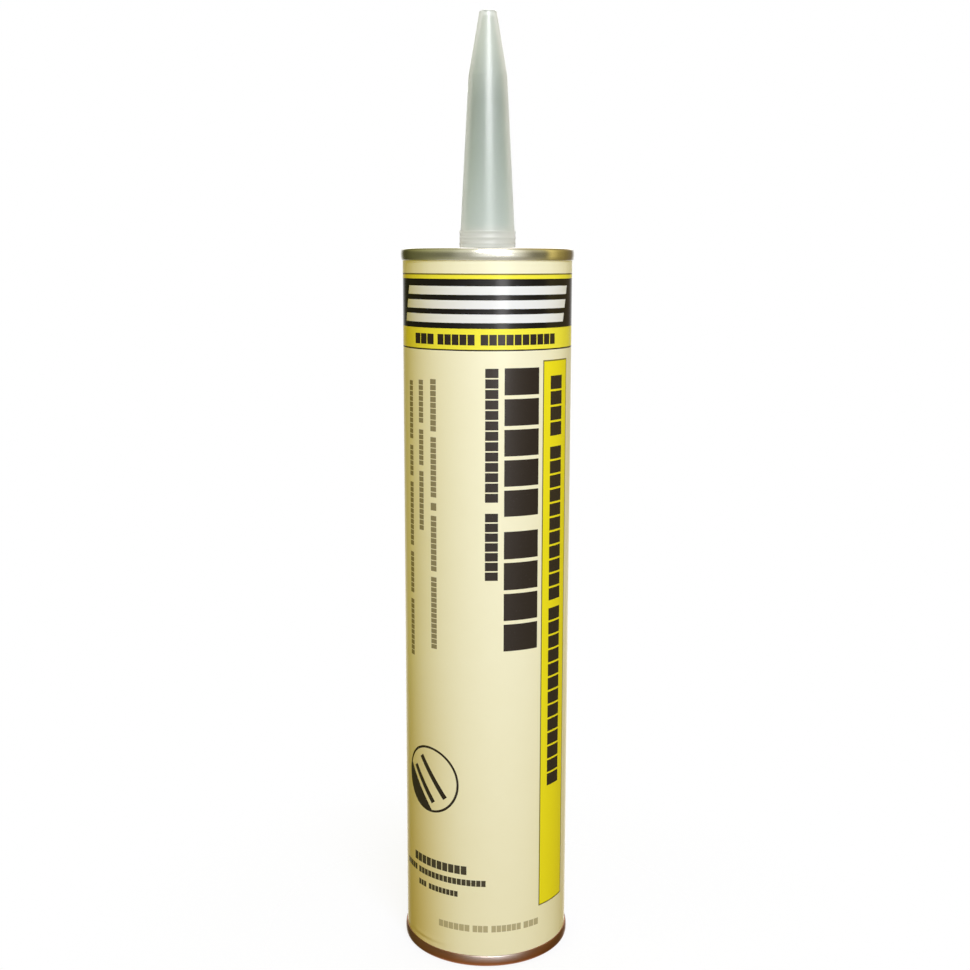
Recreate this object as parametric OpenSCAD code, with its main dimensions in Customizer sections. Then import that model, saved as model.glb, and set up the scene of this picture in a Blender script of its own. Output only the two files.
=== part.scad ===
// Construction adhesive cartridge, standing on its open rear end.
// A wound fibreboard tube carries a paper label. A tinplate end with a tapered
// plastic nozzle is crimped on at the top, a tinplate ring is crimped round the
// rear, and a plastic plunger closes the tube behind the adhesive.
// The axis is Z, the foot of the rear ring is at zero and the front faces -Y.

/* [Tube] */
// Height from the foot of the rear ring to the crown of the top rim
body_h = 214.4; // [180:0.2:240]
// Bore of the fibreboard tube
tube_bore = 47; // [44:0.5:52]
// Wall of the fibreboard tube
tube_wall = 1.3; // [1:0.1:1.8]

/* [Label] */
// Thickness of the paper label
label_t = 0.18; // [0.1:0.02:0.3]
// Paste between the tube and the label
paste_t = 0.02; // [0.01:0.01:0.05]
// Width of the glued lap at the back
lap_w = 8; // [5:0.5:12]
// Crown of the top rim down to the thin bright stripe
stripe_drop = 7.1; // [5:0.1:12]
// Height of the thin bright stripe
stripe_h = 1.5; // [1:0.1:3]
// Height of the dark band
dark_band_h = 13.8; // [8:0.1:20]
// Height of the bright band under the dark one
bright_band_h = 5.8; // [3:0.1:10]
// Plain paper between the bright band and the upright field
field_gap = 3.7; // [2:0.1:10]
// Foot of the upright field above the foot of the rear ring
field_foot = 17.2; // [10:0.1:40]
// Width of the upright field round the body
field_w = 11.2; // [6:0.1:16]
// Distance round the body from the front line to the upright field
field_offset = 17.7; // [10:0.1:24]

/* [Crimped rims] */
// Thickness of the tinplate
sheet_t = 0.25; // [0.2:0.01:0.32]
// Height of the top rim
top_rim_h = 3.5; // [2.8:0.05:5]
// Height of the rear rim
rear_rim_h = 3.4; // [2.8:0.05:5]
// How far the rims stand out of the label
rim_out = 0.55; // [0.45:0.01:0.7]
// Outside radius of the rims' corners
rim_r = 0.9; // [0.5:0.05:1]
// Lean of a skirt to either side of its bow, in degrees
skirt_lean = 10; // [4:1:11]
// Outside radius of the lip that is rolled in under each skirt
rim_lip_r = 0.3; // [0.2:0.01:0.35]
// Clearance between the tinplate and the board that it grips
crimp_fit = 0.03; // [0.02:0.01:0.06]
// Height of the rear ring's wall inside the tube
rear_wall_h = 5; // [4:0.1:8]

/* [Top end] */
// Crown of the top rim down to the flat of the end
end_depth = 3.2; // [2.6:0.1:6]
// Depth of the countersink round the flat
sink_depth = 1; // [0.6:0.1:1.6]
// Width of the countersink's floor
sink_w = 2; // [1.8:0.1:2.6]
// Width of the slope down to the countersink
sink_slope = 0.6; // [0.4:0.1:1]
// Radius at which the stiffening bead runs round the flat
bead_ring_r = 16; // [15:0.1:16.5]
// Width of the stiffening bead
bead_w = 3; // [2.6:0.1:3.4]
// Height of the stiffening bead
bead_h = 0.8; // [0.5:0.1:1.2]
// Bend radius of the bead and the countersink's slope, at mid sheet
bead_bend = 0.4; // [0.3:0.05:0.5]
// Bend radius at the countersink's wall and the collar, at mid sheet
end_bend = 0.8; // [0.5:0.05:1]
// Height of the collar drawn up round the nozzle
collar_h = 1.8; // [1.4:0.1:2.4]

/* [Nozzle] */
// Diameter of the straight neck
neck_d = 16.4; // [14:0.1:18]
// Clearance between the neck and the collar
neck_fit = 0.05; // [0.03:0.01:0.1]
// Step in from the neck to the foot of the long taper
taper_step = 0.25; // [0.1:0.05:0.6]
// Height of the long taper
taper_h = 43.9; // [30:0.1:60]
// Diameter where the tip's steeper taper starts
shoulder_d = 11.3; // [9:0.1:13]
// Height of the tip
tip_h = 18.1; // [12:0.1:26]
// Diameter of the blunt end
tip_d = 4.9; // [4:0.1:6]
// Rounding of the blunt end
tip_r = 0.7; // [0.3:0.05:1]
// Solid length behind the blunt end
tip_solid = 1.5; // [1:0.1:6]
// Wall of the nozzle
nozzle_wall = 1.2; // [0.9:0.05:1.5]
// Diameter of the flange trapped under the end
flange_d = 26; // [22:0.5:28]
// Thickness of the flange
flange_t = 1.3; // [1:0.1:1.8]
// Clearance between the flange and the end
flange_fit = 0.03; // [0.02:0.01:0.06]
// Number of rings round the neck
ring_count = 3; // [1:1:5]
// Distance from ring to ring
ring_pitch = 1.75; // [1.4:0.05:2.5]
// Radius of a ring's section
ring_r = 0.5; // [0.35:0.05:0.6]
// How far a ring stands out of the neck
ring_out = 0.1; // [0.06:0.02:0.24]
// Plain neck between the collar and the lowest ring
neck_foot = 2.5; // [1:0.05:4]
// Plain neck above the highest ring
neck_end = 0.05; // [0.05:0.05:2]

/* [Inner seal] */
// Thickness of the foil
seal_t = 0.1; // [0.05:0.01:0.2]
// Bare edge of the flange round the foil
seal_edge = 1.5; // [0.5:0.1:3]
// Clearance between the foil and the flange
seal_fit = 0.02; // [0.01:0.01:0.05]

/* [Plunger] */
// Rear edge of the plunger above the foot of the rear ring
plunger_recess = 11; // [9:0.1:20]
// Height of the plunger
plunger_h = 18; // [15:0.5:24]
// Clearance between the plunger's lips and the tube
plunger_fit = 0.1; // [0.06:0.01:0.2]
// How far the skirt stands back from the lips
lip_relief = 0.7; // [0.4:0.05:1.2]
// Height of the full width of each lip
lip_h = 1.2; // [0.8:0.1:2]
// Height of the slope from a lip to the skirt
lip_slope = 1.4; // [0.8:0.1:2.4]
// Thickness of the front lip
lip_t = 0.9; // [0.7:0.05:1.2]
// Width of the groove behind the front lip
groove_w = 1.6; // [1:0.1:2.4]
// Depth of the groove behind the front lip
groove_depth = 2; // [1.4:0.1:3]
// Wall of the skirt
skirt_wall = 1.4; // [1:0.1:2]
// Thickness of the face
face_t = 1.6; // [1.2:0.1:2.4]
// Number of ribs behind the face
rib_count = 8; // [4:1:12]
// Thickness of a rib
rib_t = 1.2; // [0.8:0.1:2]
// Height of a rib
rib_h = 5; // [3:0.5:7]
// Diameter of the hub where the ribs meet
hub_d = 12; // [8:0.5:16]

/* [Adhesive] */
// Clearance between the adhesive and the tube and top end
fill_fit = 0.05; // [0.03:0.01:0.1]
// Gap between the adhesive and the plunger
fill_gap = 0.3; // [0.2:0.05:0.5]

/* [Hidden] */
$fn = 96;

// How far a cutting shape runs past what it cuts
over = 1;

// Radii from the bore outwards
tube_ir = tube_bore / 2;
tube_or = tube_ir + tube_wall;
label_ir = tube_or + paste_t;
label_or = label_ir + label_t;

// The board runs into both rims as far as the start of their corner bends
board_foot = rim_r + crimp_fit;
board_top = body_h - rim_r - crimp_fit;

// Bends and radii of the rims at mid sheet
wall_r = tube_ir - crimp_fit - sheet_t / 2;
bow_r = label_or + rim_out - sheet_t / 2;
grip_r = label_or + crimp_fit;
rim_bend = min(rim_r - sheet_t / 2, (bow_r - wall_r) / 2);
lip_bend = rim_lip_r - sheet_t / 2;

// Heights of the top end at mid sheet
crown_z = body_h - sheet_t / 2;
top_lip_z = body_h - top_rim_h + sheet_t / 2;
flat_z = body_h - end_depth - sheet_t / 2;
sink_z = flat_z - sink_depth;
collar_r = neck_d / 2 + neck_fit + sheet_t / 2;

// Heights of the nozzle and its seal
flange_top = flat_z - sheet_t / 2 - flange_fit;
flange_foot = flange_top - flange_t;
ring_half = sqrt(ring_r * ring_r - (ring_r - ring_out) * (ring_r - ring_out));
first_ring_z = flat_z + collar_h + neck_foot + ring_half;
neck_top = first_ring_z + (ring_count - 1) * ring_pitch + ring_half + neck_end;
taper_r = neck_d / 2 - taper_step;
shoulder_z = neck_top + taper_h;
tip_z = shoulder_z + tip_h;
bore_top = tip_z - tip_solid;
seal_top = flange_foot - seal_fit;

// Plunger and adhesive
lip_or = tube_ir - plunger_fit;
skirt_or = lip_or - lip_relief;
cup_r = skirt_or - skirt_wall;
groove_or = lip_or - lip_t;
groove_ir = groove_or - groove_w;
plunger_top = plunger_recess + plunger_h;
groove_foot = plunger_top - groove_depth;
face_back = plunger_top - face_t;
fill_foot = plunger_top + fill_gap;
fill_top = min(seal_top - seal_t, sink_z - sheet_t / 2) - fill_fit;

// Heights of the print on the label
stripe_top = body_h - stripe_drop;
dark_top = stripe_top - stripe_h;
bright_top = dark_top - dark_band_h;
bright_foot = bright_top - bright_band_h;
field_top = bright_foot - field_gap;
front_angle = -90;

cream = [0.94, 0.90, 0.74];
yellow = [0.94, 0.87, 0.20];
near_black = [0.13, 0.11, 0.10];
tinplate = [0.66, 0.64, 0.56];

// Points of an arc in steps that suit its radius
function arc(mid, r, from, turn) =
    let (steps = r < 0.3 ? 3 : 6)
    [for (i = [0:steps]) mid + r * [cos(from + turn * i / steps), sin(from + turn * i / steps)]];

function unit(v) = v / norm(v);
function flat_point(v) = [v.x, v.y];

// Arc of radius r that rounds the corner b between a and c
function corner(a, b, c, r) =
    let (
        u = unit(a - b),
        v = unit(c - b),
        half = acos(u * v) / 2,
        mid = b + unit(u + v) * r / sin(half),
        start = b + u * r / tan(half) - mid,
        end = b + v * r / tan(half) - mid
    )
    arc(mid, r, atan2(start.y, start.x), atan2(cross(start, end), start * end));

// Path through corners given as [radius from the axis, height, bend radius]
function bent_path(corners) =
    let (
        last = len(corners) - 1,
        points = [
            for (i = [0:last])
                each corners[i].z == 0
                    ? [flat_point(corners[i])]
                    : corner(flat_point(corners[i - 1]), flat_point(corners[i]),
                             flat_point(corners[i + 1]), corners[i].z)
        ]
    )
    [for (i = [0:len(points) - 1]) if (i == 0 || norm(points[i] - points[i - 1]) > 0.001) points[i]];

// Offset of one path point to the left, for a sheet one unit thick on that side
function left_offset(path, i) =
    let (
        last = len(path) - 1,
        a = unit(path[max(i, 1)] - path[max(i, 1) - 1]),
        b = unit(path[min(i, last - 1) + 1] - path[min(i, last - 1)])
    )
    [-a.y - b.y, a.x + b.x] / (1 + a * b);

// Outline of a sheet of thickness t that follows a path at mid sheet
function sheet(path, t) = concat(
    [for (i = [0:len(path) - 1]) path[i] + left_offset(path, i) * t / 2],
    [for (i = [len(path) - 1:-1:0]) path[i] - left_offset(path, i) * t / 2]
);

module revolve(outline) {
    rotate_extrude()
        polygon(outline);
}

// Part of a sleeve about the axis, from one height and angle to another
module sleeve(inner, outer, foot, top, from = 0, turn = 360) {
    rotate([0, 0, from])
        rotate_extrude(angle = turn)
            translate([inner, foot])
                square([outer - inner, top - foot]);
}

// Angle that a distance takes up round the label
function label_angle(distance) = distance / label_or * 180 / PI;

module tube() {
    color([0.62, 0.52, 0.40])
        difference() {
            translate([0, 0, board_foot])
                cylinder(r = tube_or, h = board_top - board_foot);
            translate([0, 0, board_foot - over])
                cylinder(r = tube_ir, h = board_top - board_foot + 2 * over);
        }
}

// One band of the label's print, all the way round
module label_band(foot, top) {
    sleeve(label_ir, label_or, foot, top);
}

// The upright field, with a margin where it is cut out of the paper colour
module label_field(margin = 0) {
    sleeve(label_ir - margin, label_or + margin, field_foot, field_top,
           front_angle + label_angle(field_offset), label_angle(field_w));
}

module label() {
    color(cream) {
        label_band(stripe_top, board_top);
        difference() {
            label_band(board_foot, bright_foot);
            label_field(over);
        }
    }
    color(yellow) {
        label_band(dark_top, stripe_top);
        label_band(bright_foot, bright_top);
        label_field();
    }
    color(near_black)
        label_band(bright_top, dark_top);
    // The lap's upper layer lies between the two rims
    color(cream)
        sleeve(label_or, label_or + label_t, rear_rim_h + label_t, body_h - top_rim_h - label_t,
               front_angle + 180 - label_angle(lap_w) / 2, label_angle(lap_w));
}

// Corners of a skirt that bows out between a rim's edge and the lip rolled in under it
function skirt(edge_z, lip_z) =
    let (
        half_h = abs(edge_z - lip_z) / 2,
        rim_run = rim_bend * tan((90 - skirt_lean) / 2),
        bow_bend = (half_h / cos(skirt_lean) - rim_run) / tan(skirt_lean),
        middle_r = bow_r + bow_bend * (1 / cos(skirt_lean) - 1),
        edge_r = middle_r - half_h * tan(skirt_lean)
    )
    [
        [edge_r, edge_z, rim_bend],
        [middle_r, (edge_z + lip_z) / 2, bow_bend],
        [edge_r, lip_z, min(lip_bend, edge_r - grip_r)],
        [grip_r, lip_z, 0]
    ];

// Stamped end: collar, flat with a bead, countersink, wall, crown, skirt, lip
module top_end() {
    slope_r = wall_r - sink_w - sink_slope;
    color(tinplate)
        revolve(sheet(bent_path([
            [collar_r, flat_z + collar_h, 0],
            [collar_r, flat_z, end_bend],
            [bead_ring_r - bead_w / 2, flat_z, bead_bend],
            [bead_ring_r - bead_w / 4, flat_z + bead_h, bead_bend],
            [bead_ring_r + bead_w / 4, flat_z + bead_h, bead_bend],
            [bead_ring_r + bead_w / 2, flat_z, bead_bend],
            [slope_r, flat_z, bead_bend],
            [slope_r + sink_slope, sink_z, bead_bend],
            [wall_r, sink_z, end_bend],
            [wall_r, crown_z, rim_bend],
            each skirt(crown_z, top_lip_z)
        ]), sheet_t));
}

// Ring round the open rear: inner wall, foot, skirt, lip
module rear_ring() {
    rear_lip_z = rear_rim_h - sheet_t / 2;
    color(tinplate)
        revolve(sheet(bent_path([
            [wall_r, rear_wall_h, 0],
            [wall_r, sheet_t / 2, rim_bend],
            each skirt(sheet_t / 2, rear_lip_z)
        ]), sheet_t));
}

// Section of one ring round the neck, as an arc that swells out of the wall
function neck_ring(height) =
    let (half = acos((ring_r - ring_out) / ring_r))
    arc([neck_d / 2 - ring_r + ring_out, height], ring_r, -half, 2 * half);

// Nozzle in one moulding: trapped flange, ringed neck, two tapers, closed end
module nozzle() {
    outside = bent_path([
        [neck_d / 2, neck_top, 0],
        [taper_r, neck_top, 0],
        [shoulder_d / 2, shoulder_z, 0],
        [tip_d / 2, tip_z, tip_r],
        [0, tip_z, 0]
    ]);
    tip_slope = (shoulder_d - tip_d) / 2 / tip_h;
    bore = [
        [0, bore_top],
        [tip_d / 2 + tip_solid * tip_slope - nozzle_wall, bore_top],
        [shoulder_d / 2 - nozzle_wall, shoulder_z],
        [taper_r - nozzle_wall, neck_top],
        [taper_r - nozzle_wall, flange_foot]
    ];
    color([0.80, 0.83, 0.80])
        revolve(concat(
            [[flange_d / 2, flange_foot], [flange_d / 2, flange_top], [neck_d / 2, flange_top]],
            [for (i = [0:ring_count - 1]) each neck_ring(first_ring_z + i * ring_pitch)],
            outside,
            bore
        ));
}

module inner_seal() {
    color([0.80, 0.80, 0.82])
        translate([0, 0, seal_top - seal_t])
            cylinder(r = flange_d / 2 - seal_edge, h = seal_t);
}

module adhesive() {
    color([0.80, 0.72, 0.56])
        translate([0, 0, fill_foot])
            cylinder(r = tube_ir - fill_fit, h = fill_top - fill_foot);
}

// Cup of the plunger with its two wiper lips and the groove behind the front one
module plunger_cup() {
    revolve([
        [cup_r, plunger_recess],
        [lip_or, plunger_recess],
        [lip_or, plunger_recess + lip_h],
        [skirt_or, plunger_recess + lip_h + lip_slope],
        [skirt_or, plunger_top - lip_h - lip_slope],
        [lip_or, plunger_top - lip_h],
        [lip_or, plunger_top],
        [groove_or, plunger_top],
        [groove_or, groove_foot],
        [groove_ir, groove_foot],
        [groove_ir, plunger_top],
        [0, plunger_top],
        [0, face_back],
        [groove_ir - face_t, face_back],
        [groove_ir - face_t, groove_foot - face_t],
        [cup_r, groove_foot - face_t]
    ]);
}

// Hub and ribs behind the face, let half way into the walls round them
module plunger_ribs() {
    rib_foot = face_back - rib_h;
    difference() {
        intersection() {
            revolve([
                [0, rib_foot],
                [cup_r + skirt_wall / 2, rib_foot],
                [cup_r + skirt_wall / 2, groove_foot - face_t / 2],
                [groove_ir - face_t / 2, groove_foot - face_t / 2],
                [groove_ir - face_t / 2, face_back + face_t / 2],
                [0, face_back + face_t / 2]
            ]);
            union() {
                translate([0, 0, rib_foot - over])
                    cylinder(d = hub_d, h = plunger_h);
                for (i = [0:rib_count - 1])
                    rotate([0, 0, i * 360 / rib_count])
                        translate([0, -rib_t / 2, rib_foot - over])
                            cube([lip_or, rib_t, plunger_h]);
            }
        }
        translate([0, 0, rib_foot - over])
            cylinder(d = hub_d - 2 * rib_t, h = rib_h + over);
    }
}

module plunger() {
    color([0.92, 0.92, 0.89]) {
        plunger_cup();
        plunger_ribs();
    }
}

tube();
label();
top_end();
nozzle();
inner_seal();
adhesive();
rear_ring();
plunger();
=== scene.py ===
import math

import bpy
from mathutils import Matrix, Vector


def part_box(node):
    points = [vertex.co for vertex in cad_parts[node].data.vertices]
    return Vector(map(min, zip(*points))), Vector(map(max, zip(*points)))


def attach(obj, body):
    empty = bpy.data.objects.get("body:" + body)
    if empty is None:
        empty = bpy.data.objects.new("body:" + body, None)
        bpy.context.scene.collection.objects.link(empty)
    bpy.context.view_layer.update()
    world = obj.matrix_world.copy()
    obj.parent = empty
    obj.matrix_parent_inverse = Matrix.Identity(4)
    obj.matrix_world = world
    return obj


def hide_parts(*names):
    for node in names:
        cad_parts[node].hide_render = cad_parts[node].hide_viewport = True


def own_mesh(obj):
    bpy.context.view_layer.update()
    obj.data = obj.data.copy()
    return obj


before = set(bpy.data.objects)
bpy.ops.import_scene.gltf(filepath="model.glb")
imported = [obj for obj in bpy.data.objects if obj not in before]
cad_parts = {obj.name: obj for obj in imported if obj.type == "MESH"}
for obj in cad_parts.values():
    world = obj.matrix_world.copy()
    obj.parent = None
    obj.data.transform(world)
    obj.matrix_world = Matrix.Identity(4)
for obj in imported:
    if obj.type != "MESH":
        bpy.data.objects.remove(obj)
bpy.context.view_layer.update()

# Fibreboard tube
# Kraft board wound in a spiral and glued, lined with foil paper that holds the solvent in.
# The label covers its outside and the metal ends its edges, so it shows only from the rear.
MM = 0.001
TUBE_BORE = 23.5
LINING = 0.2
PLY_LEAD = 92
PLY_GAP = 0.012
BOARD_ROUGH = 0.85
FOIL_ROUGH = 0.4
FOIL_SHINE = 0.75
BOARD_RELIEF = 0.12
JOINT_DARK = 0.5
PLY_RAMP = 0.5
BOARD_BROWN = (0.34, 0.235, 0.135, 1)
BOARD_DARK = (0.25, 0.165, 0.09, 1)
FOIL_GREY = (0.66, 0.66, 0.64, 1)


def put(tree, kind, inputs=None, **settings):
    """Adds a node, whose inputs are plain values or other nodes' outputs."""
    node = tree.nodes.new("ShaderNode" + kind)
    for name, value in settings.items():
        setattr(node, name, value)
    for name, value in (inputs or {}).items():
        if isinstance(value, bpy.types.NodeSocket):
            tree.links.new(value, node.inputs[name])
        else:
            node.inputs[name].default_value = value
    return node


def calc(tree, operation, *values):
    """One step of arithmetic on values and outputs."""
    return put(tree, "Math", dict(enumerate(values)), operation=operation).outputs[0]


def paint(tree, under, over, mask):
    """The colour over laid on the colour under where the mask is 1."""
    return put(tree, "Mix", {0: mask, 6: under, 7: over}, data_type="RGBA").outputs[2]


def start_group(name, inputs, outputs):
    """An empty node group with named sockets, and its two ends."""
    tree = bpy.data.node_groups.new(name, "ShaderNodeTree")
    for side, sockets in (("INPUT", inputs), ("OUTPUT", outputs)):
        for socket, kind in sockets.items():
            tree.interface.new_socket(socket, in_out=side, socket_type="NodeSocket" + kind)
    given = tree.nodes.new("NodeGroupInput").outputs
    result = tree.nodes.new("NodeGroupOutput").inputs
    return tree, given, result


def start_material(name):
    """A material with its Principled shader and the place on the piece in millimetres."""
    material = bpy.data.materials.new(name)
    material.use_nodes = True
    tree = material.node_tree
    shader = tree.nodes["Principled BSDF"]
    place = put(tree, "TexCoord").outputs["Object"]
    in_mm = put(tree, "VectorMath", {0: place, "Scale": 1 / MM}, operation="SCALE")
    return material, tree, shader, in_mm.outputs[0]


def emboss(tree, shader, height, depth):
    """Stands a height map of 0 to 1 proud of the surface by a depth in millimetres."""
    bump = put(tree, "Bump", {"Height": height, "Distance": depth * MM})
    tree.links.new(bump.outputs[0], shader.inputs["Normal"])


# Where a place lies round the axis: angle from the front, distance from the axis and height
round_axis, given, result = start_group(
    "round_axis", {"Place": "Vector"}, {"Angle": "Float", "Radius": "Float", "Height": "Float"}
)
parts = put(round_axis, "SeparateXYZ", {0: given["Place"]}).outputs
flat_place = put(round_axis, "CombineXYZ", {0: parts["X"], 1: parts["Y"]}).outputs[0]
from_axis = put(round_axis, "VectorMath", {0: flat_place}, operation="LENGTH").outputs["Value"]
to_front = calc(round_axis, "MULTIPLY", parts["Y"], -1)
round_axis.links.new(calc(round_axis, "ARCTAN2", parts["X"], to_front), result["Angle"])
round_axis.links.new(from_axis, result["Radius"])
round_axis.links.new(parts["Z"], result["Height"])

# Fibres of paper and board: broad clouds and short fine threads
fibres, given, result = start_group(
    "fibres", {"Place": "Vector"}, {"Clouds": "Float", "Threads": "Float"}
)
clouds = put(fibres, "TexNoise", {"Vector": given["Place"], "Scale": 0.16, "Detail": 3})
fine = {"Vector": given["Place"], "Scale": 3.2, "Detail": 4, "Distortion": 1.4}
threads = put(fibres, "TexNoise", fine)
fibres.links.new(clouds.outputs[0], result["Clouds"])
fibres.links.new(threads.outputs[0], result["Threads"])

material, tree, shader, place = start_material("wound_board")
about = put(tree, "Group", {"Place": place}, node_tree=round_axis).outputs
paper = put(tree, "Group", {"Place": place}, node_tree=fibres).outputs
turns = calc(tree, "DIVIDE", about["Angle"], 2 * math.pi)
leads = calc(tree, "DIVIDE", about["Height"], PLY_LEAD)
wound = calc(tree, "FRACT", calc(tree, "SUBTRACT", leads, turns))
joint = calc(tree, "LESS_THAN", wound, PLY_GAP)
lined = calc(tree, "LESS_THAN", about["Radius"], TUBE_BORE + LINING)
board = paint(tree, BOARD_BROWN, BOARD_DARK, paper["Threads"])
foil = paint(tree, FOIL_GREY, BOARD_DARK, calc(tree, "MULTIPLY", joint, JOINT_DARK))
tree.links.new(paint(tree, board, foil, lined), shader.inputs["Base Color"])
tree.links.new(calc(tree, "MULTIPLY", lined, FOIL_SHINE), shader.inputs["Metallic"])
dull = calc(tree, "MULTIPLY_ADD", lined, FOIL_ROUGH - BOARD_ROUGH, BOARD_ROUGH)
tree.links.new(dull, shader.inputs["Roughness"])
relief = calc(tree, "ADD", paper["Clouds"], calc(tree, "MULTIPLY", wound, PLY_RAMP))
emboss(tree, shader, relief, BOARD_RELIEF)
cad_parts["tube"].material_slots[0].material = material

# Paper label
# One printed sheet pasted round the tube, with its last few millimetres lapped over its first
# at the back. Both edges run in under the crimped rims, which press a few creases into it.
PAPER = 0.18 * MM
LAP = 8 * MM
LAP_RAMP = 1.2 * MM
SHEET_COLUMNS = 260
SHEET_ROWS = 120
ROW_CROWDING = 0.85
PUCKER_DEPTH = 0.03 * MM
PUCKER_REACH = 3 * MM
PUCKER_WAVES = (23, 37, 61)
CREASE_HEIGHT = 5.2 * MM
CREASE_DEPTH = 0.34 * MM
CREASE_HALF = 0.7 * MM
CREASE_AROUND = -22 * MM
CREASE_REACH = 7 * MM
SMOOTH_ANGLE = math.radians(40)
REAR_RIM_H = 3.4 * MM
TOP_RIM_H = 3.5 * MM
label_low, label_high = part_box("label")
label_mid = label_high.x - PAPER / 2
label_h = label_high.z - label_low.z
sheet_w = 2 * math.pi * label_mid + LAP
lap_start = sheet_w / 2 - LAP
lap_foot = REAR_RIM_H + PAPER
lap_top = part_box("top_end")[1].z - TOP_RIM_H - PAPER


def swell(distance, reach):
    """A rounded hump that is 1 at no distance and fades out past its reach."""
    return math.exp(-((distance / reach) ** 2))


def cut_flat(point, normal):
    """Cuts an edge across the whole mesh in a plane."""
    bpy.ops.mesh.select_all(action="SELECT")
    bpy.ops.mesh.bisect(plane_co=point, plane_no=normal)


def apply_modifier(piece, kind, **settings):
    """Adds a modifier to the active piece and applies it."""
    modifier = piece.modifiers.new(kind.lower(), kind)
    for name, value in settings.items():
        setattr(modifier, name, value)
    bpy.ops.object.modifier_apply(modifier=modifier.name)


bpy.ops.object.select_all(action="DESELECT")
bpy.ops.mesh.primitive_grid_add(
    x_subdivisions=SHEET_COLUMNS, y_subdivisions=SHEET_ROWS, size=1, rotation=(math.pi / 2, 0, 0)
)
label = bpy.context.object
label.name = "label_sheet"
label.scale = (sheet_w, label_h, 1)
bpy.ops.object.transform_apply(location=True, rotation=True, scale=True)
for corner in label.data.vertices:
    share = corner.co.z / label_h + 0.5
    crowded = share - ROW_CROWDING * math.sin(2 * math.pi * share) / (2 * math.pi)
    corner.co.z = label_low.z + crowded * label_h

bpy.ops.object.mode_set(mode="EDIT")
for across in (lap_start - LAP_RAMP, lap_start):
    cut_flat((across, 0, 0), (1, 0, 0))
for height in (lap_foot, lap_top):
    cut_flat((0, 0, height), (0, 0, 1))
bpy.ops.object.mode_set(mode="OBJECT")
for corner in label.data.vertices:
    if corner.co.x > lap_start - MM / 100:
        corner.co.y -= PAPER
for face in label.data.polygons:
    tucked = not lap_foot < face.center.z < lap_top
    face.select = tucked and face.center.x > lap_start - LAP_RAMP
bpy.ops.object.mode_set(mode="EDIT")
bpy.ops.mesh.select_mode(type="FACE")
bpy.ops.mesh.delete(type="FACE")
bpy.ops.object.mode_set(mode="OBJECT")

for corner in label.data.vertices:
    around = corner.co.x / label_mid
    from_rims = max(min(corner.co.z - lap_foot, lap_top - corner.co.z), 0)
    ripple = sum(math.sin(waves * around + waves) for waves in PUCKER_WAVES)
    pucker = PUCKER_DEPTH * ripple * from_rims / PUCKER_REACH * swell(from_rims, PUCKER_REACH)
    along = swell(corner.co.x - CREASE_AROUND, CREASE_REACH)
    above = corner.co.z - CREASE_HEIGHT
    crease = CREASE_DEPTH * along * above / CREASE_HALF * swell(above, CREASE_HALF)
    corner.co.y += pucker - crease

apply_modifier(label, "SOLIDIFY", thickness=PAPER, offset=0)
apply_modifier(label, "SIMPLE_DEFORM", deform_method="BEND", deform_axis="Z", angle=sheet_w / label_mid)
bpy.ops.object.mode_set(mode="EDIT")
bpy.ops.mesh.select_all(action="SELECT")
bpy.ops.transform.translate(value=(0, -label_mid, 0))
bpy.ops.object.mode_set(mode="OBJECT")
bpy.ops.object.shade_smooth_by_angle(angle=SMOOTH_ANGLE)

CREAM = (0.93, 0.89, 0.61, 1)
CREAM_FIBRE = (0.88, 0.83, 0.525, 1)
CREAM_SHADE = (0.74, 0.60, 0.22, 1)
YELLOW = (0.90, 0.79, 0.012, 1)
BAND_YELLOW = (0.92, 0.835, 0.05, 1)
OLIVE = (0.20, 0.17, 0.03, 1)
BAND_BLACK = (0.008, 0.0065, 0.006, 1)
INK = (0.026, 0.018, 0.013, 1)
DARK_INK = (0.06, 0.05, 0.03, 1)
SOFT_INK = (0.29, 0.25, 0.135, 1)
PALE_INK = (0.48, 0.42, 0.23, 1)
WHITE_INK = (0.84, 0.85, 0.80, 1)
LABEL_R = 25.0

# A box of print, and within it marks that repeat at a pitch
BOX_SOCKETS = ("Along", "Across", "Start", "Length", "Side", "Width")
print_box, given, result = start_group(
    "print_box", dict.fromkeys(BOX_SOCKETS, "Float"), {"Mask": "Float", "From Start": "Float"}
)
travel = calc(print_box, "SUBTRACT", given["Along"], given["Start"])
beside = calc(print_box, "SUBTRACT", given["Across"], given["Side"])
within = [
    calc(print_box, "GREATER_THAN", travel, 0),
    calc(print_box, "LESS_THAN", travel, given["Length"]),
    calc(print_box, "GREATER_THAN", beside, 0),
    calc(print_box, "LESS_THAN", beside, given["Width"]),
]
mask = within[0]
for edge in within[1:]:
    mask = calc(print_box, "MULTIPLY", mask, edge)
print_box.links.new(mask, result["Mask"])
print_box.links.new(travel, result["From Start"])

marks, given, result = start_group(
    "marks", {"Along": "Float", "Pitch": "Float", "Fill": "Float"}, {"Mask": "Float"}
)
share = calc(marks, "FRACT", calc(marks, "DIVIDE", given["Along"], given["Pitch"]))
marks.links.new(calc(marks, "LESS_THAN", share, given["Fill"]), result["Mask"])

material, tree, shader, place = start_material("printed_paper")
about = put(tree, "Group", {"Place": place}, node_tree=round_axis).outputs
paper = put(tree, "Group", {"Place": place}, node_tree=fibres).outputs
around = calc(tree, "MULTIPLY", about["Angle"], LABEL_R)
height = about["Height"]
downwards = calc(tree, "MULTIPLY", height, -1)


def field(*sizes):
    """A plain rectangle of print, with its sizes in the order of the sockets above."""
    return put(tree, "Group", dict(zip(BOX_SOCKETS, sizes)), node_tree=print_box).outputs


# Plain blocks stand where lines of print run, each in the room of a letter
LETTER = 0.76
LETTER_GAP = 0.1


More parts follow.
